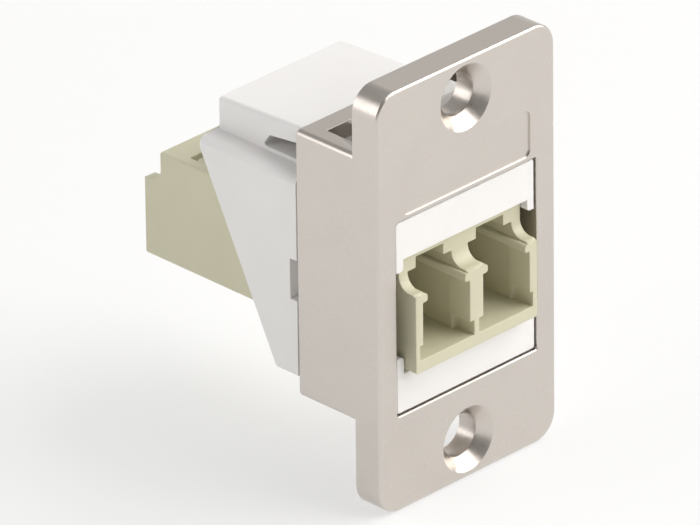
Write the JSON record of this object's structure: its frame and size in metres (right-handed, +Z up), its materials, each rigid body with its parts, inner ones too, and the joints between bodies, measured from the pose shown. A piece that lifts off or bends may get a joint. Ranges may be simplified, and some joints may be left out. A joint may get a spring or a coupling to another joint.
{
  "type": "duplex lc fibre adapter",
  "caption": "Slim metal panel frame carrying a latched white insert with a beige duplex LC fibre coupler, ports at front and rear.",
  "frame": {"origin": "midway between the two screw holes, on the rear face of the plate, where it seats on the panel", "axes": "+X to the right seen from the front, +Y to the rear through the panel, +Z up"},
  "size_m": [0.0184, 0.0281, 0.0342],
  "materials": {
    "nickel_zinc": "satin nickel plate on die-cast zinc",
    "white_abs": "fine matt moulding",
    "beige_pbt": "fine matt moulding",
    "zirconia": "ground ceramic"
  },
  "bodies": {
    "root": {"front_frame": "nickel_zinc", "keystone_carrier": "white_abs", "adapter_front_half": "beige_pbt", "adapter_rear_half": "beige_pbt", "alignment_sleeve_left": "zirconia", "alignment_sleeve_right": "zirconia"}
  },
  "joints": []
}
